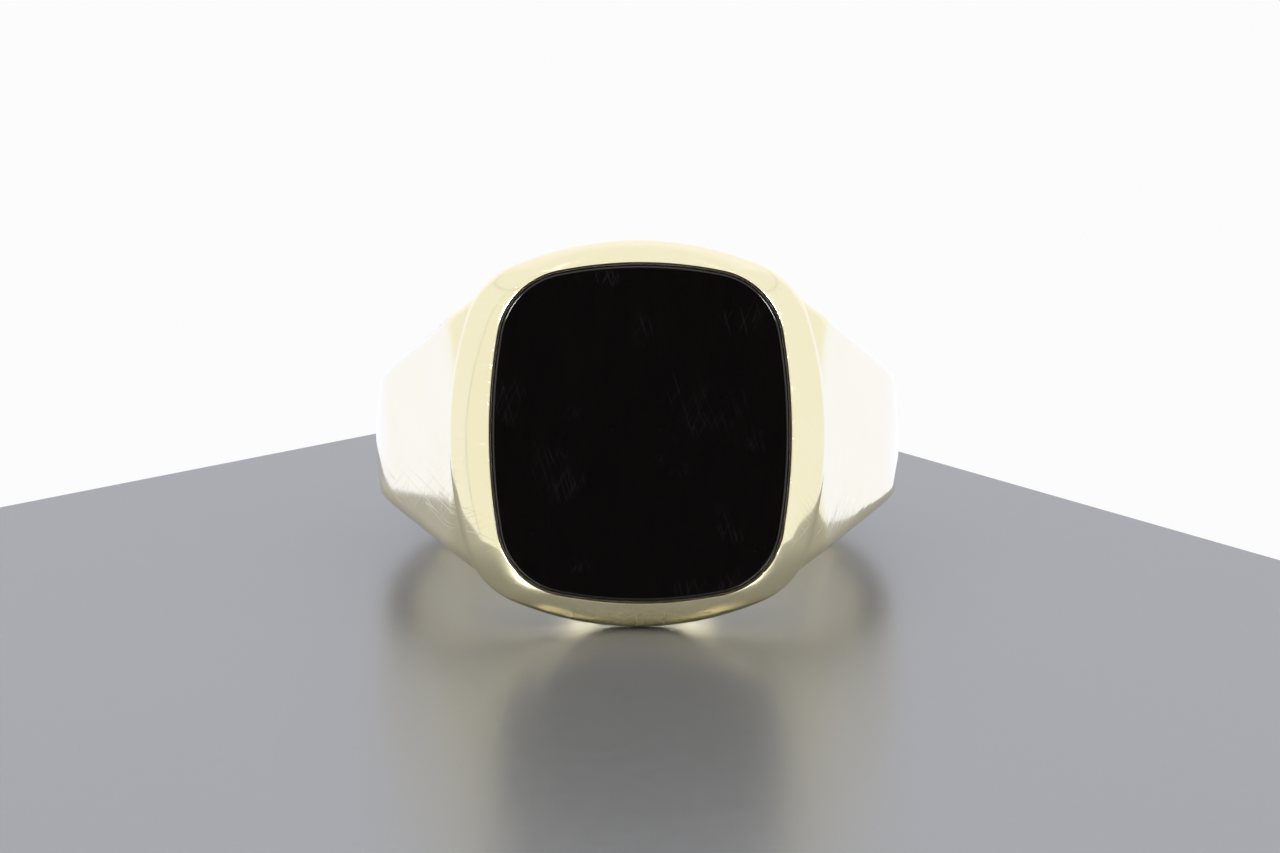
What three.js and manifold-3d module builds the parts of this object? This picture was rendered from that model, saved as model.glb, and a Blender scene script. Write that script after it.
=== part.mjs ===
// Signet ring: a gold band whose shoulders rise to a cushion-shaped head with an inlaid onyx tablet.
//
// Millimetres. Every piece is drawn upright in the ring's own axes: x across the finger, y along
// the finger, z out through the head, with the origin at the centre of the finger hole. The last
// section lays the ring on its side on a table: +Z up, the head facing -Y.

import * as THREE from "three";
import { mergeVertices } from "three/addons/utils/BufferGeometryUtils.js";
import { ParametricGeometry } from "three/addons/geometries/ParametricGeometry.js";
import Module from "manifold-3d";

const wasm = await Module();
wasm.setup();

// ---- Driving dimensions: band ------------------------------------------------------------------
const fingerRadius = 9.6; // hole for the finger
const sideWall = 1.6; // band wall beside the finger
const backWall = 1.4; // band wall behind the finger
const sideWidth = 5.3; // band width beside the finger
const backWidth = 5.1; // band width behind the finger
const crown = 0.32; // how far the band's outer face falls from its middle towards its edges
const crownEnd = 3.0; // height above the hole's centre where the crown has died away
const edgeSoftness = 0.3; // how far the rounding of the outer edges reaches over each face

// ---- Driving dimensions: shoulders --------------------------------------------------------------
const flareStart = 2.0; // height above the hole's centre where the shoulders start to widen
const flarePower = 1.25; // 1 widens the shoulders in a straight line, more in a hollow one
const cornerBite = 0.2; // the shoulders' slanting edges cut inside the head's corners by this
const slantSoftness = 0.3; // rounding of the slanting edges
const headFlare = 1.0; // run over rise of the slope that trims the shoulders just below the head
const collarTaper = 0.7; // run over rise of the wall below the platform's outline, leaning inwards
const collarFillet = 0.4; // fillet where that wall runs into the shoulders

// ---- Driving dimensions: onyx tablet ------------------------------------------------------------
const stoneWidth = 12.4; // across the finger
const stoneLength = 14.0; // along the finger
const stoneThickness = 1.45;
const stoneShift = 0.12; // hand-set this far off the head's middle, across the finger
const stoneSideRadius = 25.2; // bulge of the two long sides
const stoneEndRadius = 17.5; // bulge of the two short ends
const stoneCornerRadius = 3.1;
const stoneEdgeBevel = 0.14; // bevel along the tablet's edges

// ---- Driving dimensions: bevelled bezel frame ----------------------------------------------------
const borderSide = 1.69; // width of the border beside the tablet
const borderEnd = 1.09; // width of the border at the tablet's ends
const headSideRadius = 16.9; // bulge of the frame's outline, at the sides
const headEndRadius = 13.4; // bulge of the frame's outline, at the ends
const headCornerRadius = 3.5;
const bevelRise = 0.9; // height of the sloping border
const bevelBulge = 0.1; // how far the border's slope bows out

// ---- Driving dimensions: head of the shank and what it holds ------------------------------------
const headHeight = 1.85; // from the finger hole to the platform under the frame
const sideOverhang = 0.2; // the frame stands proud of the platform by this much at the sides
const endOverhang = 0.08; // and by this much all round
const hollowMargin = 1.3; // from the tablet's edge in to the hollow's wall
const plateThickness = 0.5;
const plateLedge = 0.6; // the plate rests on the shank by this much all round
const cementBed = 0.2; // cement under the tablet
const cementFilm = 0.12; // cement between the tablet's edge and the frame
const cementSink = 0.12; // the cement line lies this far below the tablet's face

// ---- Clearances ----------------------------------------------------------------------------------
const solderGap = 0.05; // left between gold pieces, where solder runs
const filmGap = 0.02; // left between the cement and what it bonds

// ---- Mesh fineness ---------------------------------------------------------------------------------
const arcSteps = 8; // straight steps for each arc of a cushion outline
const ringSteps = 96; // steps round the finger
const sectionSteps = 38; // steps over the outside of the band's section
const sectionStretch = 4; // how far the rays that place those steps crowd towards its edges
const bevelSteps = 4; // straight steps down the border's slope
const halvings = 32; // rounds of halving that find the skin along a ray
const spare = 1; // how far a cutting solid, or stock that is cut off, runs past the cut

// ---- Heights and radii that follow ------------------------------------------------------------------
const outerRadius = fingerRadius + sideWall; // of the band's outside circle
const outerCentre = sideWall - backWall; // that circle's centre lies above the hole's by this
const platform = fingerRadius + headHeight;
const frameBase = platform + solderGap;
const table = platform + cementBed + stoneThickness;
const girdle = table - bevelRise;
const stoneBase = table - stoneThickness;
const plateBase = platform - plateThickness;
const span = 4 * (outerRadius + table); // longer than the ring in any direction

// ---- Materials ---------------------------------------------------------------------------------------
const gold = () => new THREE.MeshStandardMaterial({ color: 0xe6cf8e, roughness: 0.12, metalness: 1 });
const onyx = () => new THREE.MeshStandardMaterial({ color: 0x0a0506, roughness: 0.08, metalness: 0 });
const cement = () => new THREE.MeshStandardMaterial({ color: 0x3a2a1c, roughness: 0.7, metalness: 0 });

// ---- Solids: from geometries and back --------------------------------------------------------------
function solid(geometry) {
  const bare = geometry.index ? geometry.toNonIndexed() : geometry.clone();
  bare.deleteAttribute("normal");
  bare.deleteAttribute("uv");
  const merged = mergeVertices(bare, 1e-4);
  const vertProperties = new Float32Array(merged.attributes.position.array);
  const triVerts = new Uint32Array(merged.index.array);
  return new wasm.Manifold(new wasm.Mesh({ numProp: 3, vertProperties, triVerts }));
}

function piece(name, shape, material) {
  const { vertProperties, triVerts } = shape.getMesh();
  const geometry = new THREE.BufferGeometry();
  geometry.setAttribute("position", new THREE.Float32BufferAttribute(vertProperties, 3));
  geometry.setIndex(new THREE.Uint32BufferAttribute(triVerts, 1));
  geometry.computeVertexNormals();
  const mesh = new THREE.Mesh(geometry, material);
  mesh.name = name;
  return mesh;
}

// A flat outline raised along z from one height to another.
function raise(shape, from, to) {
  const options = { depth: to - from, bevelEnabled: false, curveSegments: arcSteps };
  return solid(new THREE.ExtrudeGeometry(shape, options).translate(0, 0, from));
}

// Angle of the outward normal of the line from a point to a circle, touching the circle on the
// side that `turn` (1 or -1) picks.
function tangentNormal(point, centre, radius, turn) {
  const reach = point.clone().sub(centre);
  return reach.angle() + turn * Math.acos(radius / reach.length());
}

// ---- Cushion outlines: bulging sides and ends joined by corner arcs --------------------------------
function cushion(halfWidth, halfLength, sideRadius, endRadius, cornerRadius, shift) {
  return { halfWidth, halfLength, sideRadius, endRadius, cornerRadius, shift };
}

// The same cushion, grown or shrunk by an equal distance all round.
function offset(outline, by) {
  return cushion(
    outline.halfWidth + by,
    outline.halfLength + by,
    outline.sideRadius + by,
    outline.endRadius + by,
    outline.cornerRadius + by,
    outline.shift,
  );
}

// Centre of the corner arc in the first quadrant, which touches the side arc and the end arc.
function cornerCentre(outline) {
  const side = new THREE.Vector2(outline.halfWidth - outline.sideRadius, 0);
  const end = new THREE.Vector2(0, outline.halfLength - outline.endRadius);
  const toSide = outline.sideRadius - outline.cornerRadius;
  const toEnd = outline.endRadius - outline.cornerRadius;
  const gap = side.distanceTo(end);
  const along = (toSide ** 2 - toEnd ** 2 + gap ** 2) / (2 * gap);
  const out = Math.sqrt(toSide ** 2 - along ** 2);
  const line = end.clone().sub(side).normalize();
  const across = new THREE.Vector2(line.y, -line.x);
  const a = side.clone().addScaledVector(line, along).addScaledVector(across, out);
  const b = side.clone().addScaledVector(line, along).addScaledVector(across, -out);
  return a.x + a.y > b.x + b.y ? a : b;
}

// Eight arcs, anticlockwise from the middle arc on the +x side.
function cushionArcs(outline) {
  const { halfWidth, halfLength, sideRadius, endRadius, cornerRadius, shift } = outline;
  const corner = cornerCentre(outline);
  const first = Math.atan2(corner.y, corner.x - (halfWidth - sideRadius));
  const second = Math.atan2(corner.y - (halfLength - endRadius), corner.x);
  const arc = (x, y, radius, from, to) =>
    new THREE.EllipseCurve(x + shift, y, radius, radius, from, to, false, 0);
  const half = Math.PI;
  return [
    arc(halfWidth - sideRadius, 0, sideRadius, -first, first),
    arc(corner.x, corner.y, cornerRadius, first, second),
    arc(0, halfLength - endRadius, endRadius, second, half - second),
    arc(-corner.x, corner.y, cornerRadius, half - second, half - first),
    arc(sideRadius - halfWidth, 0, sideRadius, half - first, half + first),
    arc(-corner.x, -corner.y, cornerRadius, half + first, half + second),
    arc(0, endRadius - halfLength, endRadius, half + second, 2 * half - second),
    arc(corner.x, -corner.y, cornerRadius, 2 * half - second, 2 * half - first),
  ];
}

function cushionShape(outline) {
  const shape = new THREE.Shape();
  cushionArcs(outline).forEach((curve) => shape.add(curve));
  return shape;
}

const stoneOutline = cushion(
  stoneWidth / 2,
  stoneLength / 2,
  stoneSideRadius,
  stoneEndRadius,
  stoneCornerRadius,
  stoneShift,
);
const headOutline = cushion(
  stoneWidth / 2 + borderSide,
  stoneLength / 2 + borderEnd,
  headSideRadius,
  headEndRadius,
  headCornerRadius,
  0,
);
const openingOutline = offset(stoneOutline, cementFilm);
const platformOutline = offset(headOutline, -endOverhang);
const hollowOutline = { ...offset(stoneOutline, -hollowMargin), shift: 0 };
const plateOutline = offset(hollowOutline, plateLedge);

// Distance from a point to a cushion's outline, negative inside it.
function cushionDistance(outline, x, y) {
  const corner = cornerCentre(outline);
  const across = Math.abs(x - outline.shift);
  const along = Math.abs(y);
  const sideCentre = outline.halfWidth - outline.sideRadius;
  const endCentre = outline.halfLength - outline.endRadius;
  const angle = Math.atan2(along - corner.y, across - corner.x);
  const first = Math.atan2(corner.y, corner.x - sideCentre);
  const second = Math.atan2(corner.y - endCentre, corner.x);
  if (angle > first && angle < second) {
    return Math.hypot(across - corner.x, along - corner.y) - outline.cornerRadius;
  }
  const toSide = Math.hypot(across - sideCentre, along) - outline.sideRadius;
  const toEnd = Math.hypot(across, along - endCentre) - outline.endRadius;
  return Math.max(toSide, toEnd);
}

// ---- Shank: band, shoulders and the hollow head, one casting ---------------------------------------
// Its outer skin is where a distance is nought: the largest of the shoulders' few distances, or
// the collar's if that is less, with the edges between them rounded. Each is negative inside.

// The larger of two distances, rounded where they are within `reach` of each other.
function softMax(a, b, reach) {
  const near = Math.max(reach - Math.abs(a - b), 0);
  return Math.max(a, b) + near ** 2 / (4 * reach);
}

// Seen along the finger: a circle behind, and straight shoulders that touch it and rise to the head.
const shoulderTop = new THREE.Vector2(headOutline.halfWidth - sideOverhang, platform - outerCentre);
const shoulderNormal = tangentNormal(shoulderTop, new THREE.Vector2(0, 0), outerRadius, -1);

function outsideDistance(x, y, z) {
  const across = Math.abs(x);
  const height = z - outerCentre;
  const onShoulder = Math.atan2(height, across) > shoulderNormal;
  const reach = onShoulder
    ? across * Math.cos(shoulderNormal) + height * Math.sin(shoulderNormal)
    : Math.hypot(across, height);
  const crowned = 1 - THREE.MathUtils.smoothstep(z, 0, crownEnd);
  return reach - outerRadius + crown * crowned * (2 * y / sideWidth) ** 2;
}

// Seen across the finger: an even band that widens in a hollow line to the head's two ends, which
// bulge like the platform's.
function widthDistance(x, y, z) {
  const fromBack = (z + fingerRadius + backWall) / (flareStart + fingerRadius + backWall);
  const band = THREE.MathUtils.lerp(backWidth, sideWidth, Math.min(fromBack, 1)) / 2;
  const rise = Math.max(z - flareStart, 0) / (platform - flareStart);
  const straight = Math.abs(y) - band - (platformOutline.halfLength - band) * rise ** flarePower;
  return straight + (rise ** 4 * x * x) / (2 * platformOutline.endRadius);
}

// Seen from above the head: slanting edges, from the sides of the band to the head's corners.
const bandCorner = new THREE.Vector2(outerRadius - crown, sideWidth / 2);
const slantNormal = tangentNormal(
  bandCorner,
  cornerCentre(headOutline),
  headCornerRadius - cornerBite,
  1,
);

function slantDistance(x, y) {
  const across = Math.abs(x) - bandCorner.x;
  const along = Math.abs(y) - bandCorner.y;
  return across * Math.cos(slantNormal) + along * Math.sin(slantNormal);
}

// Just below the head: the platform's outline, flaring outwards.
function flareDistance(x, y, z) {
  return cushionDistance(platformOutline, x, y) - headFlare * (platform - z);
}

// Under the platform: a collar whose wall leans inwards from the platform's outline. The stock
// above the platform, which is cut off, leans inwards too.
function collarDistance(x, y, z) {
  return cushionDistance(platformOutline, x, y) + collarFillet / 2 + collarTaper * Math.abs(platform - z);
}

function skinDistance(x, y, z) {
  const sides = softMax(outsideDistance(x, y, z), widthDistance(x, y, z), edgeSoftness);
  const slanted = softMax(sides, slantDistance(x, y), slantSoftness);
  const shoulders = softMax(slanted, flareDistance(x, y, z), edgeSoftness);
  const joined = -softMax(-shoulders, -collarDistance(x, y, z), collarFillet);
  return Math.max(joined, z - platform - spare);
}

// A ray starts at a radius, and leans from the radial direction towards the finger's: it leaves
// the shank once, at a place found by halving. `turn` goes round the finger.
function skinPoint(turn, startRadius, lean, target) {
  const radial = Math.cos(lean);
  const along = sectionStretch * Math.sin(lean);
  let inside = 0;
  let outside = span;
  for (let round = 0; round < halvings; round++) {
    const reach = (inside + outside) / 2;
    const radius = startRadius + reach * radial;
    target.set(radius * Math.sin(turn), reach * along, radius * Math.cos(turn));
    if (skinDistance(target.x, target.y, target.z) < 0) {
      inside = reach;
    } else {
      outside = reach;
    }
  }
}

// Stock for the shank: sections like a bridge, from one inner edge over the outside to the other.
function makeStock() {
  const corners = sectionSteps + 1;
  const place = (u, v, target) => {
    const turn = (2 * Math.PI * (Math.round(u * ringSteps) % ringSteps)) / ringSteps;
    const step = Math.round(v * corners) % corners;
    const onInside = step === 0 || step === sectionSteps;
    const startRadius = onInside ? fingerRadius - spare : fingerRadius + backWall / 2;
    const share = THREE.MathUtils.clamp((step - 1) / (sectionSteps - 2), 0, 1);
    skinPoint(turn, startRadius, Math.PI * (share - 0.5), target);
  };
  return solid(new ParametricGeometry(place, ringSteps, corners));
}

function makeShank() {
  const hole = new THREE.CylinderGeometry(fingerRadius, fingerRadius, span, ringSteps);
  hole.rotateY(Math.PI / ringSteps); // its edges fall between the stock's
  const aboveHead = new THREE.BoxGeometry(span, span, span).translate(0, 0, platform + span / 2);
  const rebateOutline = offset(plateOutline, solderGap);
  return makeStock()
    .subtract(solid(hole))
    .subtract(solid(aboveHead))
    .subtract(raise(cushionShape(hollowOutline), 0, platform + spare))
    .subtract(raise(cushionShape(rebateOutline), plateBase - solderGap, platform + spare));
}

// ---- Bezel frame: the bevelled gold border round the tablet ----------------------------------------
// A closed profile carried round the head. Each profile point is a share of the way from the
// opening's outline to the head's outline, and a height.
function frameProfile() {
  const profile = [
    [0, frameBase],
    [1, frameBase],
  ];
  for (let step = 0; step <= bevelSteps; step++) {
    const up = step / bevelSteps;
    profile.push([1 - up, girdle + bevelRise * up + 4 * bevelBulge * up * (1 - up)]);
  }
  return profile;
}

function makeFrame() {
  const inner = cushionArcs(openingOutline);
  const outer = cushionArcs(headOutline);
  const profile = frameProfile();
  const place = (u, v, target) => {
    const turn = (u * inner.length) % inner.length;
    const arc = Math.floor(turn);
    const [share, height] = profile[Math.round(v * profile.length) % profile.length];
    const point = inner[arc].getPoint(turn - arc).lerp(outer[arc].getPoint(turn - arc), share);
    target.set(point.x, point.y, height);
  };
  return solid(new ParametricGeometry(place, arcSteps * inner.length, profile.length));
}

// ---- Seat plate: closes the hollow head under the tablet -------------------------------------------
function makePlate() {
  return raise(cushionShape(plateOutline), plateBase, platform);
}

// ---- Cement: a thin tray under and round the tablet ------------------------------------------------
function makeCement() {
  const outside = cushionShape(offset(openingOutline, -filmGap));
  const inside = cushionShape(offset(stoneOutline, filmGap));
  return raise(outside, platform + filmGap, table - cementSink)
    .subtract(raise(inside, stoneBase - filmGap, table + spare));
}

// ---- Onyx tablet: a flat cushion with a fine bevel along its upper edge ------------------------------
function makeStone() {
  const geometry = new THREE.ExtrudeGeometry(cushionShape(stoneOutline), {
    depth: stoneThickness - 2 * stoneEdgeBevel,
    bevelEnabled: true,
    bevelThickness: stoneEdgeBevel,
    bevelSize: stoneEdgeBevel,
    bevelOffset: -stoneEdgeBevel,
    bevelSegments: 1,
    curveSegments: arcSteps,
  });
  return solid(geometry.translate(0, 0, stoneBase + stoneEdgeBevel));
}

// ---- The ring, laid on its side: the head's lower edge and the back of the band touch the table ------
const ring = new THREE.Group();
ring.add(
  piece("shank", makeShank(), gold()),
  piece("bezel_frame", makeFrame(), gold()),
  piece("seat_plate", makePlate(), gold()),
  piece("stone_cement", makeCement(), cement()),
  piece("onyx_tablet", makeStone(), onyx()),
);
// The band's rounded edge touches about two thirds of its rounding in from the crowned outer face.
const crownedWall = backWall - crown * (backWidth / sideWidth) ** 2;
const backTouch = fingerRadius + crownedWall - 0.64 * edgeSoftness;
const restTilt = Math.atan2(headOutline.halfLength - backWidth / 2, frameBase + backTouch);
ring.rotation.x = Math.PI / 2 - restTilt;
ring.updateMatrixWorld(true);

const bounds = new THREE.Box3().setFromObject(ring, true);
const middle = bounds.getCenter(new THREE.Vector3());
ring.position.set(-middle.x, -middle.y, -bounds.min.z);

const model = new THREE.Group();
model.add(ring);
model.updateMatrixWorld(true);

export default model;
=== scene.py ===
"""A signet ring lying on its side: gold shank, bevelled gold border, inlaid black onyx.

Shapes are worked out in millimetres in the ring's own axes: x across the finger, y along the
finger, z out through the head, with the origin at the centre of the finger hole. `laid` takes
them to where the frame has the ring, in metres.
"""

import math
from types import SimpleNamespace

import bpy
import numpy as np
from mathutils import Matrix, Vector


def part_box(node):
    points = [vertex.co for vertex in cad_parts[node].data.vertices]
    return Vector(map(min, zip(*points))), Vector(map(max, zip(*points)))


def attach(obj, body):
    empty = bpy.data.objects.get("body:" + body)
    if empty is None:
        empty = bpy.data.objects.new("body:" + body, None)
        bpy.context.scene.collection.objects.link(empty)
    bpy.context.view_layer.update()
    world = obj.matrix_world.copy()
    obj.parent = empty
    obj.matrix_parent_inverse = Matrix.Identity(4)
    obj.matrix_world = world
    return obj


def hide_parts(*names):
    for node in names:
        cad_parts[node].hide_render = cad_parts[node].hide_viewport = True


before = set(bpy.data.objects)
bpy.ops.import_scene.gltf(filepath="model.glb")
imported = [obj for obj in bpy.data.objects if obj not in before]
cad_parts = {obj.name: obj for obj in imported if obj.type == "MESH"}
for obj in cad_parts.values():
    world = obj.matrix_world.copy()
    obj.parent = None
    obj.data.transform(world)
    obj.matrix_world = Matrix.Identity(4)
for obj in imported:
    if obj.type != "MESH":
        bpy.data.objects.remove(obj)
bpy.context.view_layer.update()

# ---- Sizes in millimetres ------------------------------------------------------------------------
# Band.
FINGER_RADIUS = 9.6
SIDE_WALL = 1.6  # beside the finger
BACK_WALL = 1.4
SIDE_WIDTH = 5.3
BACK_WIDTH = 5.1
CROWN = 0.32  # how much lower the band's outside is at its edges
CROWN_END = 3.0  # height at which the crown has faded
EDGE_SOFTNESS = 0.3
HOLE_SOFTNESS = 0.35  # rounding of the edges of the finger hole

# Shoulders and head.
FLARE_START = 2.0  # height at which the band starts to widen
FLARE_POWER = 1.25
BULGE_POWER = 4  # how quickly the shoulders' two ends take on the bulge of the head's
CORNER_BITE = 0.2
SLANT_SOFTNESS = 0.3
HEAD_FLARE = 1.0
COLLAR_TAPER = 0.7
COLLAR_FILLET = 0.4
HEAD_HEIGHT = 1.85  # from the finger hole to the platform
SIDE_OVERHANG = 0.2
END_OVERHANG = 0.08

# Border, tablet, plate and cement.
BEVEL_RISE = 0.9
BEVEL_BULGE = 0.1
STONE_THICKNESS = 1.45
STONE_BEVEL = 0.07
PLATE_THICKNESS = 0.5
CEMENT_BED = 0.2
CEMENT_FILM = 0.12
CEMENT_SINK = 0.12  # the cement's lip lies this much below the tablet's face
SOLDER_GAP = 0.05
FILM_GAP = 0.02

OUTER_RADIUS = FINGER_RADIUS + SIDE_WALL
OUTER_CENTRE = SIDE_WALL - BACK_WALL
PLATFORM = FINGER_RADIUS + HEAD_HEIGHT
FRAME_BASE = PLATFORM + SOLDER_GAP
TABLE = PLATFORM + CEMENT_BED + STONE_THICKNESS
GIRDLE = TABLE - BEVEL_RISE
STONE_BASE = TABLE - STONE_THICKNESS
REBATE_FLOOR = PLATFORM - PLATE_THICKNESS - SOLDER_GAP


# ---- Cushion outlines ----------------------------------------------------------------------------
def cushion(half_width, half_length, side_radius, end_radius, corner_radius, shift=0.0):
    """Two bulging sides and two bulging ends, joined by corner arcs that touch them."""
    return SimpleNamespace(
        half_width=half_width,
        half_length=half_length,
        side_radius=side_radius,
        end_radius=end_radius,
        corner_radius=corner_radius,
        shift=shift,
    )


def offset(outline, by):
    """The same cushion, grown by an equal distance all round."""
    return cushion(
        outline.half_width + by,
        outline.half_length + by,
        outline.side_radius + by,
        outline.end_radius + by,
        outline.corner_radius + by,
        outline.shift,
    )


def corner_centre(outline):
    """Centre of the corner arc in the first quadrant: where two circles round the centres of the
    side arc and the end arc cross, whose radii are less by the corner's."""
    side = np.array([outline.half_width - outline.side_radius, 0.0])
    end = np.array([0.0, outline.half_length - outline.end_radius])
    to_side = outline.side_radius - outline.corner_radius
    to_end = outline.end_radius - outline.corner_radius
    gap = np.linalg.norm(end - side)
    along = (to_side**2 - to_end**2 + gap**2) / (2 * gap)
    out = math.sqrt(to_side**2 - along**2)
    line = (end - side) / gap
    across = np.array([line[1], -line[0]])
    crossings = side + line * along + np.outer([out, -out], across)
    return max(crossings, key=lambda point: point.sum())


def corner_angles(outline, centre):
    """Where the corner arc starts, at the side, and ends, at the end."""
    first = math.atan2(centre[1], centre[0] - (outline.half_width - outline.side_radius))
    second = math.atan2(centre[1] - (outline.half_length - outline.end_radius), centre[0])
    return first, second


def cushion_loop(outline, per_side):
    """Points anticlockwise round the outline, `per_side` for each of its four sides, from the
    middle of the corner at +x, -y: centre + radius * (cos, sin) of an angle that runs evenly along
    half a corner arc, a side or end arc, and half the next corner arc."""
    centre = corner_centre(outline)
    first, second = corner_angles(outline, centre)
    middle = (first + second) / 2
    in_corner = per_side // 4
    in_side = per_side - 2 * in_corner
    side_centre = outline.half_width - outline.side_radius
    end_centre = outline.half_length - outline.end_radius
    corner = outline.corner_radius
    arcs = [
        (centre[0], -centre[1], corner, -middle, -first, in_corner),
        (side_centre, 0, outline.side_radius, -first, first, in_side),
        (centre[0], centre[1], corner, first, middle, in_corner),
        (centre[0], centre[1], corner, middle, second, in_corner),
        (0, end_centre, outline.end_radius, second, math.pi - second, in_side),
        (-centre[0], centre[1], corner, math.pi - second, math.pi - middle, in_corner),
    ]
    runs = []
    for x, y, radius, start, stop, count in arcs:
        angle = np.linspace(start, stop, count, endpoint=False)
        runs.append(np.stack([x + radius * np.cos(angle), y + radius * np.sin(angle)], 1))
    half = np.concatenate(runs)
    return np.concatenate([half, -half]) + [outline.shift, 0]


def cushion_distance(outline, x, y):
    """Distance to the outline, negative inside: to the corner arc within its two angles, and the
    larger of the distances to the side arc and the end arc elsewhere."""
    centre = corner_centre(outline)
    first, second = corner_angles(outline, centre)
    across = np.abs(x - outline.shift)
    along = np.abs(y)
    angle = np.arctan2(along - centre[1], across - centre[0])
    to_corner = np.hypot(across - centre[0], along - centre[1]) - outline.corner_radius
    side_centre = outline.half_width - outline.side_radius
    end_centre = outline.half_length - outline.end_radius
    to_side = np.hypot(across - side_centre, along) - outline.side_radius
    to_end = np.hypot(across, along - end_centre) - outline.end_radius
    return np.where((angle > first) & (angle < second), to_corner, np.maximum(to_side, to_end))


# Half the width, half the length, and the radii of the sides, the ends and the corners.
STONE = cushion(6.2, 7.0, 25.2, 17.5, 3.1, shift=0.12)
HEAD = cushion(7.89, 8.09, 16.9, 13.4, 3.5)
OPENING = offset(STONE, CEMENT_FILM)
PLATFORM_OUTLINE = offset(HEAD, -END_OVERHANG)
HOLLOW = cushion(4.9, 5.7, 23.9, 16.2, 1.8)
REBATE = offset(HOLLOW, 0.6 + SOLDER_GAP)


# ---- The shank's outer skin: the largest of a few distances, with rounded edges between them -----
def soft_max(a, b, reach):
    """The larger of a and b, plus (reach - |a - b|)^2 / (4 reach) where they are that close."""
    near = np.maximum(reach - np.abs(a - b), 0)
    return np.maximum(a, b) + near**2 / (4 * reach)


def tangent_normal(point, centre, radius, turn):
    """Angle of the normal of the line from a point that touches a circle on one side."""
    reach = np.subtract(point, centre)
    return math.atan2(reach[1], reach[0]) + turn * math.acos(radius / np.linalg.norm(reach))


SHOULDER_NORMAL = tangent_normal(
    (HEAD.half_width - SIDE_OVERHANG, PLATFORM - OUTER_CENTRE), (0, 0), OUTER_RADIUS, -1
)
BAND_CORNER = (OUTER_RADIUS - CROWN, SIDE_WIDTH / 2)
SLANT_NORMAL = tangent_normal(BAND_CORNER, corner_centre(HEAD), HEAD.corner_radius - CORNER_BITE, 1)


def skin_distance(x, y, z):
    """Distance to the skin, negative inside. Seen along the finger it is a circle with straight
    shoulders that touch it. Across the finger it is an even band that widens to the head with the
    height's power, and whose ends bulge by x^2 / (2 radius) as the head's do. From above the head
    there are two slanting edges on each side. Under the platform its outline flares outwards, and
    a collar that leans inwards is joined on."""
    height = z - OUTER_CENTRE
    across = np.abs(x)
    on_shoulder = np.arctan2(height, across) > SHOULDER_NORMAL
    straight = across * math.cos(SHOULDER_NORMAL) + height * math.sin(SHOULDER_NORMAL)
    rise = np.clip(z / CROWN_END, 0, 1)
    crowned = 1 - rise * rise * (3 - 2 * rise)
    outside = np.where(on_shoulder, straight, np.hypot(across, height)) - OUTER_RADIUS
    outside = outside + CROWN * crowned * (2 * y / SIDE_WIDTH) ** 2
    from_back = (z + FINGER_RADIUS + BACK_WALL) / (FLARE_START + FINGER_RADIUS + BACK_WALL)
    band = (BACK_WIDTH + (SIDE_WIDTH - BACK_WIDTH) * np.minimum(from_back, 1)) / 2
    flare = np.maximum(z - FLARE_START, 0) / (PLATFORM - FLARE_START)
    width = np.abs(y) - band - (PLATFORM_OUTLINE.half_length - band) * flare**FLARE_POWER
    width = width + flare**BULGE_POWER * x * x / (2 * PLATFORM_OUTLINE.end_radius)
    slant = (across - BAND_CORNER[0]) * math.cos(SLANT_NORMAL)
    slant = slant + (np.abs(y) - BAND_CORNER[1]) * math.sin(SLANT_NORMAL)
    under_head = cushion_distance(PLATFORM_OUTLINE, x, y) - HEAD_FLARE * (PLATFORM - z)
    sides = soft_max(outside, width, EDGE_SOFTNESS)
    slanted = soft_max(sides, slant, SLANT_SOFTNESS)
    trimmed = soft_max(slanted, under_head, EDGE_SOFTNESS)
    collar = cushion_distance(PLATFORM_OUTLINE, x, y) + COLLAR_FILLET / 2
    collar = collar + COLLAR_TAPER * np.abs(PLATFORM - z)
    return -soft_max(-trimmed, -collar, COLLAR_FILLET)


def rounded_distance(x, y, z):
    """The skin's distance, rounded into the finger hole's."""
    return soft_max(skin_distance(x, y, z), FINGER_RADIUS - np.hypot(x, z), HOLE_SOFTNESS)


HALVINGS = 34


def meet(distance, start, way, furthest, level=0.0):
    """Where rays start + t * way reach the level of a distance, by halving t between 0 and the
    furthest."""
    low = np.zeros(start.shape[:-1])
    high = np.full(start.shape[:-1], float(furthest))
    for _ in range(HALVINGS):
        t = (low + high) / 2
        inside = distance(*np.moveaxis(start + t[..., None] * way, -1, 0)) < level
        low = np.where(inside, t, low)
        high = np.where(inside, high, t)
    return start + ((low + high) / 2)[..., None] * way


def in_section(turn, radius, along):
    """A point at a radius and a place along the finger, in the section at an angle from the
    head: (radius sin turn, along, radius cos turn)."""
    radius, along, turn = np.broadcast_arrays(radius, along, turn)
    return np.stack([radius * np.sin(turn), along, radius * np.cos(turn)], -1)


# ---- Meshes from grids ---------------------------------------------------------------------------
SEWING = 1e4  # points that agree to one ten-thousandth of a millimetre are the same


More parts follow.
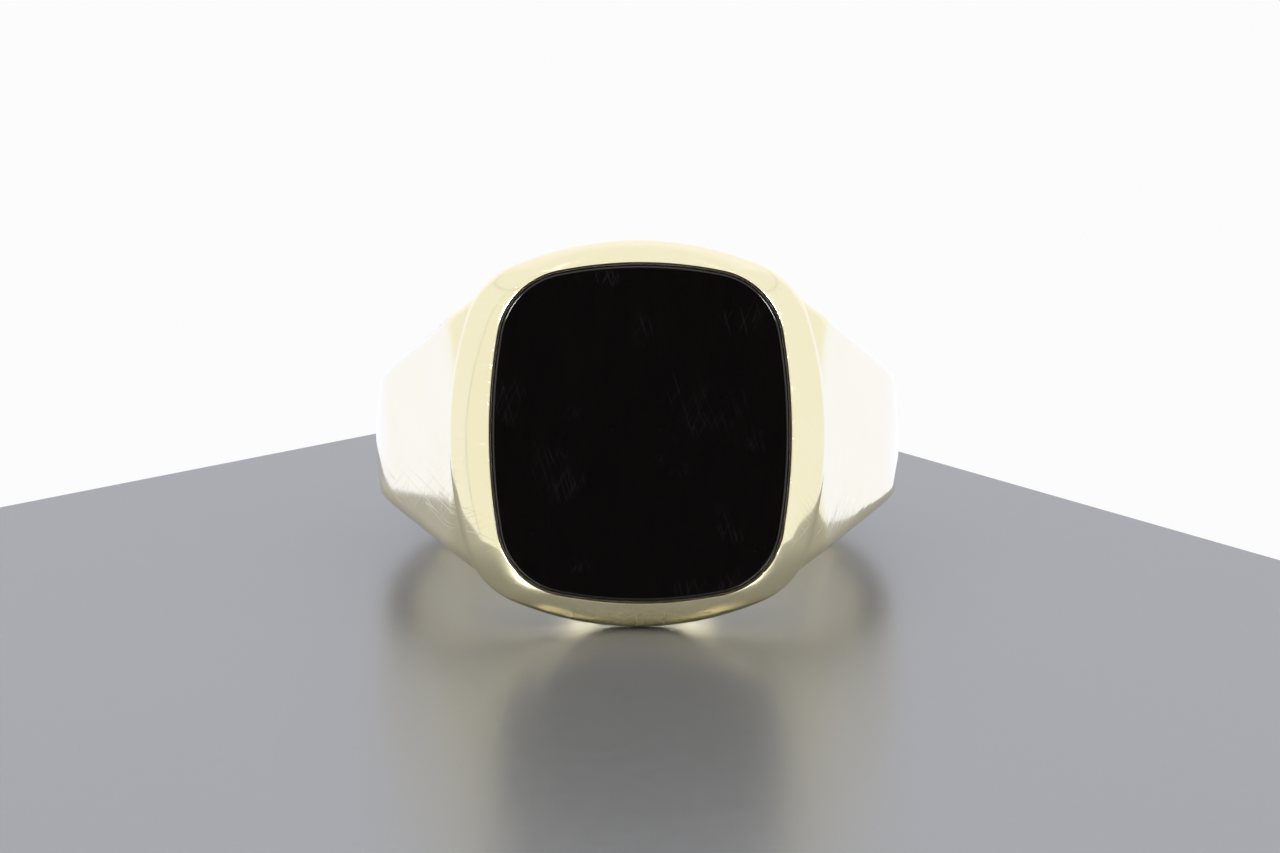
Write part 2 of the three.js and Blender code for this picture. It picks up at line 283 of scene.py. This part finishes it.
class Patches:
    """Grids of points that are sewn into one mesh where their points are the same."""

    def __init__(self):
        self.points = []
        self.faces = []
        self.count = 0

    def grid(self, points, around=False, flip=False, keep=None):
        """Quads between the neighbouring points of a (rows, columns, 3) grid, closed round the
        columns if `around`; `keep` says which quads stay."""
        rows, columns = points.shape[:2]
        index = self.count + np.arange(rows * columns).reshape(rows, columns)
        if around:
            index = np.concatenate([index, index[:, :1]], 1)
        quads = np.stack([index[:-1, :-1], index[:-1, 1:], index[1:, 1:], index[1:, :-1]], -1)
        quads = quads[keep] if keep is not None else quads.reshape(-1, 4)
        self.points.append(points.reshape(-1, 3))
        self.faces.append(quads[:, ::-1] if flip else quads)
        self.count += rows * columns

    def sewn(self):
        """Points without doubles, four-sided faces, and the three-sided ones where two corners
        fell together."""
        points = np.concatenate(self.points)
        quads = np.concatenate(self.faces)
        _, first, place = np.unique(
            np.round(points * SEWING), axis=0, return_index=True, return_inverse=True
        )
        quads = place.reshape(-1)[quads]
        double = quads == np.roll(quads, -1, 1)
        whole = quads[double.sum(1) == 0]
        folded = double.sum(1) == 1
        corner = np.argmax(double[folded], 1)
        turned = (corner[:, None] + np.arange(1, 4)) % 4
        triangles = np.take_along_axis(quads[folded], turned, 1)
        corners = np.concatenate([whole.ravel(), triangles.ravel()])
        used, renumbered = np.unique(corners, return_inverse=True)
        faces = renumbered[: whole.size].reshape(-1, 4).tolist()
        faces += renumbered[whole.size :].reshape(-1, 3).tolist()
        return points[first][used], faces


EDGE_TOUCH = 0.64  # how far, in softnesses, the rounded back edge touches below the sharp one


def rest_place():
    """How the ring lies: the tilt at which the head's edge and the back both touch the ground, and
    the place of the ring's origin, from the tablet's box."""
    crowned_wall = BACK_WALL - CROWN * (BACK_WIDTH / SIDE_WIDTH) ** 2
    back_touch = FINGER_RADIUS + crowned_wall - EDGE_TOUCH * EDGE_SOFTNESS
    tilt = math.atan2(HEAD.half_length - BACK_WIDTH / 2, FRAME_BASE + back_touch)
    low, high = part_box("onyx_tablet")
    middle = np.array((low + high) / 2) * 1000
    own = np.array([[STONE.shift, 0.0, STONE_BASE + STONE_THICKNESS / 2]])
    return tilt, middle - turned(own, tilt)[0]


def turned(points, tilt):
    """(x, y, z) to (x, y sin t - z cos t, y cos t + z sin t)."""
    x, y, z = np.moveaxis(points, -1, 0)
    c, s = math.cos(tilt), math.sin(tilt)
    return np.stack([x, y * s - z * c, y * c + z * s], -1)


TILT, ORIGIN = rest_place()


def laid(points):
    """The ring's own axes in millimetres to the frame's in metres."""
    return (turned(points, TILT) + ORIGIN) / 1000


def add_piece(name, patches, material, stands_for, sharp=35):
    """One object from sewn patches, smooth but for edges sharper than an angle in degrees."""
    points, faces = patches.sewn()
    mesh = bpy.data.meshes.new(name)
    mesh.from_pydata(laid(points).tolist(), [], faces)
    mesh.validate()
    mesh.polygons.foreach_set("use_smooth", np.ones(len(mesh.polygons), bool))
    mesh.set_sharp_from_angle(angle=math.radians(sharp))
    mesh.materials.append(material)
    piece = bpy.data.objects.new(name, mesh)
    bpy.context.scene.collection.objects.link(piece)
    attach(piece, "root")
    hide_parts(*stands_for)
    return piece


# ---- Shank ---------------------------------------------------------------------------------------
PER_SIDE = 64  # points along each side of the head
SIDE_ROWS = 34  # rows from the head's block to the hole's edge, on either side
HOLE_ROWS = 8  # rows inside the hole, from the hollow's mouth to the hole's edge
RIM_STEPS = 8  # steps round the hole's edge
BACK_TURN = math.radians(52)  # from here round the back, the columns are straight
TO_BACK = 22  # columns from the head's block to there
BEHIND = 190  # columns round the back
MOUTH_EDGE = 0.12  # chamfer of the hollow's mouth
SECTION_CENTRE = FINGER_RADIUS + BACK_WALL / 2
STRETCH = 4.0  # rays lean faster along the finger, where the band is wide
RIGHT_ANGLE = math.pi / 2
SIDE_LEAN = RIGHT_ANGLE + math.radians(10)  # leans past a right angle slide down the band's side


def blend(a, b, share):
    return a + (b - a) * share


def eased(count):
    """Shares from 0 to 1 that start slowly."""
    share = np.linspace(0, 1, count + 1)
    return share**1.3


def ring_columns(edge_turn, edge_value, far_turn, far_value, transition, band):
    """Two numbers over a (column, row) grid that runs round the finger. The first columns are the
    head's block: its boundary is the loop of edges given. From its two sides the numbers blend, in
    `transition` columns, to `far_turn` and `far_value`, which hold round the back of the band."""
    n = PER_SIDE
    rows = np.arange(n + 1)
    top = np.stack([edge_turn, edge_value])[:, n : 2 * n + 1][:, ::-1]
    bottom = np.stack([edge_turn, edge_value])[:, np.arange(3 * n, 4 * n + 1) % (4 * n)]
    right = np.stack([edge_turn, edge_value])[:, : n + 1]
    left = np.stack([edge_turn, edge_value])[:, 2 * n : 3 * n + 1][:, ::-1]
    share = (rows / n)[None, None, :]
    block = blend(bottom[:, :, None], top[:, :, None], share)  # its inside is cut out later
    block[:, 0, :] = left
    block[:, n, :] = right
    far = np.stack([np.full(n + 1, far_turn), far_value])
    out = eased(transition)[None, :, None]
    to_right = blend(right[:, None, :], far[:, None, :], out)
    far_left = np.stack([np.full(n + 1, 2 * math.pi - far_turn), far_value])
    wrapped = left + np.array([2 * math.pi, 0])[:, None]
    to_left = blend(wrapped[:, None, :], far_left[:, None, :], out)[:, ::-1]
    back = np.linspace(far_turn, 2 * math.pi - far_turn, band + 1)[1:-1]
    behind = np.stack(
        [np.repeat(back[:, None], n + 1, 1), np.repeat(far_value[None, :], len(back), 0)]
    )
    return np.concatenate([block, to_right[:, 1:], behind, to_left[:, :-1]], 1)


def platform_edge():
    """Where the skin crosses the platform, on lines from the rebate's outline to the head's."""
    inner = cushion_loop(REBATE, PER_SIDE)
    outer = cushion_loop(HEAD, PER_SIDE)
    start = np.concatenate([inner, np.full((len(inner), 1), PLATFORM)], 1)
    way = np.concatenate([outer - inner, np.zeros((len(inner), 1))], 1)
    return meet(skin_distance, start, way, 1.3)


def on_hole(outline):
    """An outline carried along z onto the finger hole's cylinder."""
    x, y = cushion_loop(outline, PER_SIDE).T
    return np.stack([x, y, np.sqrt(FINGER_RADIUS**2 - x**2)], 1)


def at_height(outline, z):
    loop = cushion_loop(outline, PER_SIDE)
    return np.concatenate([loop, np.full((len(loop), 1), z)], 1)


def shank_patches():
    """The skin is met by rays in sections round the finger. A ray starts in the middle of the wall
    and leans by an angle from straight out to along the finger: its direction is (cos a, 4 sin a).
    Past a right angle its start slides down towards the hole, and round the hole's edge it fans
    from outwards to inwards. The grid of sections and leans is drawn so that the platform's edge
    runs along its lines; the platform, the rebate and the hollow are rings of quads inside it."""
    n = PER_SIDE
    edge = platform_edge()
    radius = np.hypot(edge[:, 0], PLATFORM)
    turn = np.arctan2(edge[:, 0], PLATFORM)
    lean = np.arctan2(edge[:, 1] / STRETCH, radius - SECTION_CENTRE)
    far_lean = np.linspace(-1, 1, n + 1) * math.radians(30)
    turns, leans = ring_columns(turn, lean, BACK_TURN, far_lean, TO_BACK, BEHIND)

    # Rows beyond the block, to the hole's edge on either side.
    reach = (np.arange(1, SIDE_ROWS + 1) / SIDE_ROWS)[None, :]
    up = blend(leans[:, -1:], SIDE_LEAN, reach)
    down = blend(leans[:, :1], -SIDE_LEAN, reach)[:, ::-1]
    leans = np.concatenate([down, leans, up], 1)
    low_turns = np.repeat(turns[:, :1], SIDE_ROWS, 1)
    high_turns = np.repeat(turns[:, -1:], SIDE_ROWS, 1)
    turns = np.concatenate([low_turns, turns, high_turns], 1)
    past = np.clip(np.abs(leans) - RIGHT_ANGLE, 0, None) / (SIDE_LEAN - RIGHT_ANGLE)
    start_radius = blend(SECTION_CENTRE, FINGER_RADIUS + HOLE_SOFTNESS, past)
    held = np.clip(leans, -RIGHT_ANGLE, RIGHT_ANGLE)
    start = in_section(turns, start_radius, 0.0)
    way = in_section(turns, np.cos(held), STRETCH * np.sin(held))
    skin = meet(skin_distance, start, way, 16)
    below = SIDE_ROWS
    set_block_edge(skin, edge, below)

    # Round the hole's edge.
    rims = []
    for side, column in ((-1, 0), (1, -1)):
        at = turns[:, column]
        rim_start = in_section(at, FINGER_RADIUS, 0.0)
        rim = meet(skin_distance, rim_start, in_section(at, 0.0, float(side)), 12, -HOLE_SOFTNESS)
        fan = (np.arange(1, RIM_STEPS) / RIM_STEPS)[None, :] * RIGHT_ANGLE
        origin = in_section(at[:, None], FINGER_RADIUS + HOLE_SOFTNESS, rim[:, None, 1])
        direction = in_section(at[:, None], -np.sin(fan), side * np.cos(fan))
        curve = meet(rounded_distance, np.broadcast_to(origin, direction.shape), direction, 2)
        rims.append(np.concatenate([curve, rim[:, None]], 1))
    outer = np.concatenate([rims[0][:, ::-1], skin, rims[1]], 1)
    below += rims[0].shape[1]
    keep = np.ones((outer.shape[0], outer.shape[1] - 1), bool)
    keep[:n, below : below + n] = False

    # The finger hole, with the hollow's mouth in it.
    mouth = on_hole(offset(HOLLOW, MOUTH_EDGE))
    mouth_turn = np.arctan2(mouth[:, 0], mouth[:, 2])
    low_rim, high_rim = rims[0][:, -1, 1], rims[1][:, -1, 1]
    far_along = np.linspace(-1, 1, n + 1) * 2.0
    hole_turn, hole_along = ring_columns(
        mouth_turn, mouth[:, 1], BACK_TURN, far_along, TO_BACK, BEHIND
    )
    share = (np.arange(1, HOLE_ROWS + 1) / HOLE_ROWS)[None, :]
    rim_turn = turns[:, 0]
    above = blend(hole_along[:, -1:], high_rim[:, None], share)
    under = blend(hole_along[:, :1], low_rim[:, None], share)[:, ::-1]
    above_turn = blend(hole_turn[:, -1:], rim_turn[:, None], share)
    under_turn = blend(hole_turn[:, :1], rim_turn[:, None], share)[:, ::-1]
    hole_along = np.concatenate([under, hole_along, above], 1)
    hole_turn = np.concatenate([under_turn, hole_turn, above_turn], 1)
    hole = in_section(hole_turn, FINGER_RADIUS, hole_along)
    set_block_edge(hole, mouth, HOLE_ROWS)
    hole[:, 0] = rims[0][:, -1]
    hole[:, -1] = rims[1][:, -1]
    keep_hole = np.ones((hole.shape[0], hole.shape[1] - 1), bool)
    keep_hole[:n, HOLE_ROWS : HOLE_ROWS + n] = False

    made = Patches()
    made.grid(np.swapaxes(outer, 0, 1), around=True, keep=keep.T)
    made.grid(np.swapaxes(hole, 0, 1), around=True, flip=True, keep=keep_hole.T)
    wall_foot = on_hole(HOLLOW)
    wall_foot[:, 2] += MOUTH_EDGE
    rings = [
        edge,
        at_height(REBATE, PLATFORM),
        at_height(REBATE, REBATE_FLOOR),
        at_height(HOLLOW, REBATE_FLOOR),
        wall_foot,
        mouth,
    ]
    made.grid(np.stack(rings), around=True)
    return made


def set_block_edge(points, loop, column):
    """Puts a loop's points round the edge of the square block that starts at a column."""
    n = PER_SIDE
    points[: n + 1, column] = loop[np.arange(3 * n, 4 * n + 1) % (4 * n)]
    points[: n + 1, column + n] = loop[n : 2 * n + 1][::-1]
    points[0, column : column + n + 1] = loop[2 * n : 3 * n + 1][::-1]
    points[n, column : column + n + 1] = loop[: n + 1]


# ---- Border --------------------------------------------------------------------------------------
def curve_between(a, control, b, count):
    """Points along (1 - t)^2 a + 2 t (1 - t) control + t^2 b, for even t, without the last."""
    t = np.linspace(0, 1, count, endpoint=False)[:, None, None]
    return (1 - t) ** 2 * a + 2 * t * (1 - t) * control + t**2 * b


ROUND_THE_HEAD = 96  # points along each side of the border, the tablet and the cement
OUTER_ROUNDING = 0.26  # how far the border's outer edge is rounded over, inwards
OUTER_DROP = 0.24  # and down
INNER_ROUNDING = 0.05
INNER_DROP = 0.07


def border_patches():
    """A closed profile carried round the head. Its points are a share of the way from the head's
    outline to the opening, and a height: flat below, upright outside, a rounded outer edge, the
    slope girdle + rise * up + 4 * bulge * up * (1 - up), a fine rounded inner edge, and upright
    inside."""
    inner = cushion_loop(OPENING, ROUND_THE_HEAD)
    outer = cushion_loop(HEAD, ROUND_THE_HEAD)
    width = np.linalg.norm(outer - inner, axis=1)

    def height(up):
        return GIRDLE + BEVEL_RISE * up + 4 * BEVEL_BULGE * up * (1 - up)

    def slope(up):
        return BEVEL_RISE + 4 * BEVEL_BULGE * (1 - 2 * up)

    def at(up, z):
        return np.stack(np.broadcast_arrays(up, z), -1) * np.ones((len(width), 1))

    outer_up = OUTER_ROUNDING / width
    inner_up = 1 - INNER_ROUNDING / width
    outer_corner = height(outer_up) - slope(outer_up) * outer_up
    inner_corner = height(inner_up) + slope(inner_up) * (1 - inner_up)
    zero, one = 0 * width, 0 * width + 1
    outside = curve_between(
        at(zero, outer_corner - OUTER_DROP),
        at(zero, outer_corner),
        at(outer_up, height(outer_up)),
        10,
    )
    ups = blend(outer_up, inner_up, np.linspace(0, 1, 24, endpoint=False)[:, None])
    sloping = np.stack([ups, height(ups)], -1)
    inside = curve_between(
        at(inner_up, height(inner_up)),
        at(one, inner_corner),
        at(one, inner_corner - INNER_DROP),
        5,
    )
    profile = np.concatenate(
        [
            at(one, FRAME_BASE)[None],
            at(zero, FRAME_BASE)[None],
            outside,
            sloping,
            inside,
            at(one, inner_corner - INNER_DROP)[None],
            at(one, FRAME_BASE)[None],
        ]
    )
    place = blend(outer, inner, profile[..., :1])
    made = Patches()
    made.grid(np.concatenate([place, profile[..., 1:]], -1), around=True)
    return made


# ---- Tablet and cement ---------------------------------------------------------------------------
def shrunk(loop, centre, shares):
    """Copies of a loop, drawn in towards a centre; the last may be the centre itself."""
    return centre + (loop - centre) * np.asarray(shares)[:, None, None]


def capped_rings(rings):
    """Rings of points as a closed body: the first and the last are filled to their middles."""
    made = Patches()
    first, last = rings[0], rings[-1]
    under = shrunk(first, first.mean(0), [0, 0.35, 0.7])
    over = shrunk(last, last.mean(0), [0.7, 0.35, 0])
    made.grid(np.concatenate([under, np.stack(rings), over]), around=True)
    return made


def ring_of(outline, z):
    loop = cushion_loop(outline, ROUND_THE_HEAD)
    return np.concatenate([loop, np.full((len(loop), 1), z)], 1)


def tablet_patches():
    """A flat cushion with a fine bevel along both edges, its corners eased in two steps. Two rings
    just inside the bevel keep the faces flat up to it."""
    low, high = STONE_BASE, TABLE
    eased_steps = [(0.045, 0.01), (0.01, 0.045), (0.0, STONE_BEVEL)]
    steps = [(0.5, 0.0), (0.09, 0.0), (STONE_BEVEL, 0.0), *eased_steps]
    rings = [ring_of(offset(STONE, -inset), low + rise) for inset, rise in steps]
    rings += [ring_of(offset(STONE, -inset), high - rise) for inset, rise in steps[::-1]]
    return capped_rings(rings)


LIP_ROUNDING = 0.02


def cement_patches():
    """A thin tray: outside wall, rounded lip below the tablet's face, inside wall and floor."""
    outside = offset(OPENING, -FILM_GAP)
    inside = offset(STONE, FILM_GAP)
    lip = TABLE - CEMENT_SINK
    rings = [
        ring_of(outside, PLATFORM + FILM_GAP),
        ring_of(outside, lip - LIP_ROUNDING),
        ring_of(offset(outside, -LIP_ROUNDING), lip),
        ring_of(offset(inside, LIP_ROUNDING), lip),
        ring_of(inside, lip - LIP_ROUNDING),
        ring_of(inside, STONE_BASE - FILM_GAP),
    ]
    return capped_rings(rings)


# ---- Finishes ------------------------------------------------------------------------------------
class Value:
    """A socket that can be used in sums: an expression on values adds its Math nodes."""

    def __init__(self, finish, socket):
        self.finish = finish
        self.socket = socket

    def maths(self, operation, *others):
        return self.finish.add("ShaderNodeMath", {"operation": operation}, 0, [self, *others])

    def __add__(self, other):
        return self.maths("ADD", other)

    __radd__ = __add__

    def __mul__(self, other):
        return self.maths("MULTIPLY", other)

    __rmul__ = __mul__

    def __sub__(self, other):
        return self.maths("SUBTRACT", other)

    def __rsub__(self, other):
        return self.finish.add("ShaderNodeMath", {"operation": "SUBTRACT"}, 0, [other, self])

    def above(self, edge, soft):
        """0 below an edge and 1 above it, over a soft step."""
        sockets = {"Value": self, "From Min": edge - soft, "From Max": edge + soft}
        settings = {"interpolation_type": "SMOOTHSTEP"}
        return self.finish.add("ShaderNodeMapRange", settings, "Result", sockets)


class Finish:
    """One material or world, made of nodes."""

    def __init__(self, holder):
        self.holder = holder
        holder.use_nodes = True
        self.nodes = holder.node_tree.nodes
        self.links = holder.node_tree.links
        self.nodes.clear()

    def add(self, kind, settings=None, output=0, sockets=()):
        """Adds a node: its settings first, then the values or links of its sockets."""
        node = self.nodes.new(kind)
        for key, value in (settings or {}).items():
            setattr(node, key, value)
        pairs = sockets.items() if isinstance(sockets, dict) else enumerate(sockets)
        for key, value in pairs:
            if isinstance(value, Value):
                self.links.new(value.socket, node.inputs[key])
            elif value is not None:
                node.inputs[key].default_value = value
        return Value(self, node.outputs[output]) if len(node.outputs) else node

    def noise(self, where, scale, detail=3.0, rough=0.5):
        sockets = {"Vector": where, "Scale": scale, "Detail": detail, "Roughness": rough}
        return self.add("ShaderNodeTexNoise", {}, "Fac", sockets)

    def mapped(self, where, turn, stretch):
        """Coordinates turned by three angles, then stretched."""
        sockets = {"Vector": where, "Rotation": turn, "Scale": [1 / factor for factor in stretch]}
        return self.add("ShaderNodeMapping", {"vector_type": "TEXTURE"}, 0, sockets)

    def mix(self, share, a, b):
        settings = {"data_type": "RGBA"}
        return self.add("ShaderNodeMix", settings, 2, {0: share, 6: a, 7: b})

    def hairlines(self, where, turn, fine, run, width):
        """Fine straight scratches: noise squeezed along turned x, kept near its middle value."""
        lines = self.noise(self.mapped(where, turn, (fine, run, run)), 1.0, 1.0, 0.4)
        away = (lines - 0.5).maths("ABSOLUTE")
        return 1 - away.above(width, width * 0.9)

    def bump(self, height, strength, distance):
        sockets = {"Strength": strength, "Distance": distance, "Height": height}
        return self.add("ShaderNodeBump", {}, 0, sockets)

    def surface(self, base, roughness, normal=None, **constants):
        sockets = {"Base Color": base, "Roughness": roughness, "Normal": normal}
        sockets.update({key.replace("_", " "): value for key, value in constants.items()})
        shader = self.add("ShaderNodeBsdfPrincipled", {}, 0, sockets)
        self.add("ShaderNodeOutputMaterial", {}, 0, {"Surface": shader})
        return self.holder


def new_finish(name):
    return Finish(bpy.data.materials.new(name))


GOLD = (0.93, 0.85, 0.585, 1)
GOLD_WARM = (0.93, 0.80, 0.50, 1)
# A darker gold for the painted dark reflection of the floor on the lowest edge.
GOLD_PAINTED_DARK_REFLECTION = (0.60, 0.52, 0.30, 1)


def polished_gold(name, lines, worn, scuffed_and_painted_reflection):
    """Bright yellow gold: polishing lines, a few crossing scratches, cloudy wear, and grainy scuff
    marks low down where it is set on its edge. These marks are wear in their roughness and bumps,
    and a painted dark reflection of the floor in their darkened colour."""
    made = new_finish(name)
    where = made.add("ShaderNodeTexCoord", {}, "Object")
    cloud = made.noise(where, 260.0, 4.0, 0.6)
    fine = made.noise(where, 2600.0, 2.0, 0.5)
    tone = made.mix(cloud.above(0.55, 0.2) * 0.35, GOLD, GOLD_WARM)
    polish = made.hairlines(where, (0.0, 0.12, 0.0), 9000.0, 400.0, 0.03)
    scratch_a = made.hairlines(where, (0.3, 0.9, 0.5), 3000.0, 60.0, 0.004)
    scratch_b = made.hairlines(where, (-0.4, -0.5, 0.9), 2400.0, 50.0, 0.004)
    scratches = scratch_a.maths("MAXIMUM", scratch_b)
    height = made.add("ShaderNodeSeparateXYZ", {}, 2, [where])
    across = made.mapped(where, (0.0, 0.2, 0.0), (2600.0, 4000.0, 7000.0))
    grain = made.noise(across, 1.0, 3.0, 0.65)
    # Grainy marks in the lowest millimetre: their roughness and bumps are wear, and their darker
    # colour is a painted dark reflection of the floor.
    scuffs_and_painted_reflection = grain.above(0.5, 0.16) * (1 - height.above(0.0010, 0.0006)) * scuffed_and_painted_reflection
    tone = made.mix(scuffs_and_painted_reflection * 0.7, tone, GOLD_PAINTED_DARK_REFLECTION)
    rough = 0.055 + 0.05 * cloud + worn * scratches + 0.04 * lines * polish + 0.16 * scuffs_and_painted_reflection
    bumps = fine * 0.25 + scratches * -0.4 + polish * (-0.35 * lines) + scuffs_and_painted_reflection * -4.0
    return made.surface(tone, rough, made.bump(bumps, 0.10, 0.00002), Metallic=1.0)


def satin_gold(name):
    """The underside's plate, left as it came from the rolling mill: brushed and a little dull."""
    made = new_finish(name)
    where = made.add("ShaderNodeTexCoord", {}, "Object")
    rolled = made.mapped(where, (0.0, 0.0, 0.0), (9000.0, 300.0, 300.0))
    brushed = made.noise(rolled, 1.0, 2.0, 0.6)
    cloud = made.noise(where, 400.0, 3.0, 0.6)
    tone = made.mix(cloud, GOLD, GOLD_WARM)
    normal = made.bump(brushed, 0.3, 0.00001)
    return made.surface(tone, 0.28 + 0.12 * brushed, normal, Metallic=1.0)


def black_onyx(name):
    """Polished black onyx: almost black, with a trace of brown, fine scratches in patches, and
    faint bands."""
    made = new_finish(name)
    where = made.add("ShaderNodeTexCoord", {}, "Object")
    layered = made.mapped(where, (0.0, 0.0, 0.0), (1400.0, 1400.0, 120.0))
    bands = made.noise(layered, 1.0, 3.0, 0.6)
    tone = made.mix(bands, (0.0016, 0.0008, 0.0010, 1), (0.0042, 0.0026, 0.0028, 1))
    long_a = made.hairlines(where, (0.0, 0.5, 0.0), 3600.0, 160.0, 0.003)
    long_b = made.hairlines(where, (0.0, -0.3, 0.0), 3300.0, 170.0, 0.003)
    patch = made.noise(where, 430.0, 2.0, 0.5).above(0.62, 0.1)
    scratches = long_a.maths("MAXIMUM", long_b) * patch
    rough = 0.045 + 0.03 * bands + 0.12 * scratches
    return made.surface(tone, rough, made.bump(1 - scratches, 0.06, 0.00001), IOR=1.54)


def brown_cement(name):
    """Dark, grainy jeweller's cement."""
    made = new_finish(name)
    where = made.add("ShaderNodeTexCoord", {}, "Object")
    grain = made.noise(where, 3000.0, 4.0, 0.6)
    tone = made.mix(grain, (0.012, 0.007, 0.004, 1), (0.07, 0.045, 0.025, 1))
    return made.surface(tone, 0.55 + 0.25 * grain, made.bump(grain, 0.5, 0.00004))


def floor_finish(name):
    """A pale satin slab."""
    made = new_finish(name)
    where = made.add("ShaderNodeTexCoord", {}, "Object")
    grain = made.noise(where, 900.0, 3.0, 0.6)
    tone = made.mix(grain, (0.26, 0.26, 0.255, 1), (0.30, 0.30, 0.295, 1))
    return made.surface(tone, 0.26 + 0.08 * grain, Metallic=0.45, IOR=1.25)


# ---- Camera --------------------------------------------------------------------------------------
CAMERA_ELEVATION = math.radians(13.7)
CAMERA_DISTANCE = 0.4885
LENS = 329
AIM_RIGHT = 0.000104
AIM_UP = 0.000271
TO_CAMERA = (0, -math.cos(CAMERA_ELEVATION), math.sin(CAMERA_ELEVATION))


def set_camera():
    """A long lens half a metre from the head, almost square to the tablet."""
    face = Vector(laid(np.array([0.0, 0.0, TABLE])).tolist())
    up = Vector((0, math.sin(CAMERA_ELEVATION), math.cos(CAMERA_ELEVATION)))
    data = bpy.data.cameras.new("camera")
    data.sensor_width = 36
    data.lens = LENS
    data.clip_start = 0.01
    data.clip_end = 10
    camera = bpy.data.objects.new("camera", data)
    bpy.context.scene.collection.objects.link(camera)
    camera.location = face + Vector(TO_CAMERA) * CAMERA_DISTANCE
    aim = face + Vector((AIM_RIGHT, 0, 0)) + up * AIM_UP
    camera.rotation_euler = (aim - camera.location).to_track_quat("-Z", "Y").to_euler()
    bpy.context.scene.camera = camera


# ---- Floor and light -----------------------------------------------------------------------------
def add_floor():
    """A plain pale slab's top, 74 mm by 81 mm, one corner behind the ring."""
    to_left = Vector((-0.764, -0.645, 0))
    to_right = Vector((0.631, -0.776, 0))
    back = Vector((0.0005, 0.033, 0))
    left = back + 0.074 * to_left
    right = back + 0.081 * to_right
    front = left + right - back
    mesh = bpy.data.meshes.new("floor")
    mesh.from_pydata([tuple(p) for p in (back, left, front, right)], [], [(0, 1, 2, 3)])
    mesh.materials.append(floor_finish("pale_floor"))
    floor = bpy.data.objects.new("floor", mesh)
    bpy.context.scene.collection.objects.link(floor)


# Panels, by the colour that polished metal sees in them.
FRONT_PANEL = (0.95, 0.97, 0.96, 1)
SIDE_PANELS = (0.963, 0.995, 1.04, 1)
BACK_ABOVE = (1.06, 1.08, 1.22, 1)
BACK_BELOW = (1.02, 1.08, 1.38, 1)
SEAM = (0.2, 0.2, 0.2, 1)
OPENING_DARK = (0.03, 0.03, 0.03, 1)
EVEN_LIGHT = (0.973, 0.973, 0.973, 1)

# Edges of the front panel: turn from the front to its left and right, and height, in radians.
PANEL_LEFT = -1.06
PANEL_RIGHT = 0.66
PANEL_TOP = 0.8

# Lamps: turn from the front, height, reach (all in radians) and brightness.
LAMPS = [
    (-0.55, 0.52, 0.11, 60.0),
    (0.55, 0.52, 0.11, 60.0),
    (-1.9, 1.30, 0.05, 1.6),
    (1.9, 1.30, 0.05, 1.6),
]


def seam_at(angle, edge):
    """1 on a thin line where an angle is at a panel's edge, and 0 away from it."""
    return 1 - (angle - edge).maths("ABSOLUTE").above(0.01, 0.006)


def set_light():
    """Even white light all round, as inside a tent. What shines off polished metal sees its panels:
    the front one is a little dimmer, with seams, and has the camera's dark opening in it. Four
    small lamps hang in the tent."""
    world = bpy.data.worlds.new("tent")
    bpy.context.scene.world = world
    made = Finish(world)
    way = made.add("ShaderNodeTexCoord", {}, "Generated")
    parts = made.add("ShaderNodeSeparateXYZ", {}, 0, [way]).socket.node.outputs
    x, y, z = (Value(made, part) for part in parts)
    azimuth = x.maths("ARCTAN2", y * -1)
    height = z.maths("ARCSINE")

    def towards(aim):
        settings = {"operation": "DOT_PRODUCT"}
        return made.add("ShaderNodeVectorMath", settings, "Value", [way, aim])

    right_of_left = azimuth.above(PANEL_LEFT, 0.01)
    left_of_right = 1 - azimuth.above(PANEL_RIGHT, 0.01)
    below_top = 1 - height.above(PANEL_TOP, 0.01)
    in_front = right_of_left * left_of_right * below_top
    seams = seam_at(azimuth, PANEL_LEFT).maths("MAXIMUM", seam_at(azimuth, PANEL_RIGHT))
    seams = seams.maths("MAXIMUM", seam_at(height, PANEL_TOP))
    behind = made.mix(height.above(0.04, 0.04), BACK_BELOW, BACK_ABOVE)
    around = made.mix(y.above(0.4, 0.15), SIDE_PANELS, behind)
    tone = made.mix(in_front, around, FRONT_PANEL)
    tone = made.mix(seams * 0.3, tone, SEAM)
    tone = made.mix(towards(TO_CAMERA).above(0.994, 0.002), tone, OPENING_DARK)
    for turn, rise, reach, strength in LAMPS:
        level = math.cos(rise)
        near = towards((level * math.sin(turn), -level * math.cos(turn), math.sin(rise)))
        spot = near.above(math.cos(reach), 1 - math.cos(reach / 2))
        tone = made.mix(spot, tone, (strength, strength, strength, 1))
    shine = made.add("ShaderNodeBackground", {}, 0, [tone, 1.0])
    even = made.add("ShaderNodeBackground", {}, 0, [EVEN_LIGHT, 1.0])
    glossy = made.add("ShaderNodeLightPath", {}, "Is Glossy Ray")
    both = made.add("ShaderNodeMixShader", {}, 0, [glossy, even, shine])
    made.add("ShaderNodeOutputWorld", {}, 0, {"Surface": both})


# ---- The scene -----------------------------------------------------------------------------------
set_camera()
bright = polished_gold("bright_gold", 1.0, 0.10, 0.0)
border_gold = polished_gold("border_gold", 0.4, 0.12, 1.0)
onyx = black_onyx("black_onyx")
cement = brown_cement("brown_cement")
add_piece("gold_shank", shank_patches(), bright, ["shank"])
add_piece("gold_border", border_patches(), border_gold, ["bezel_frame"])
add_piece("onyx_inlay", tablet_patches(), onyx, ["onyx_tablet"], sharp=60)
add_piece("cement_line", cement_patches(), cement, ["stone_cement"], sharp=60)
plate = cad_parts["seat_plate"]
plate.data.materials.clear()
plate.data.materials.append(satin_gold("satin_gold"))

add_floor()
set_light()
bpy.context.scene.view_settings.view_transform = "Standard"
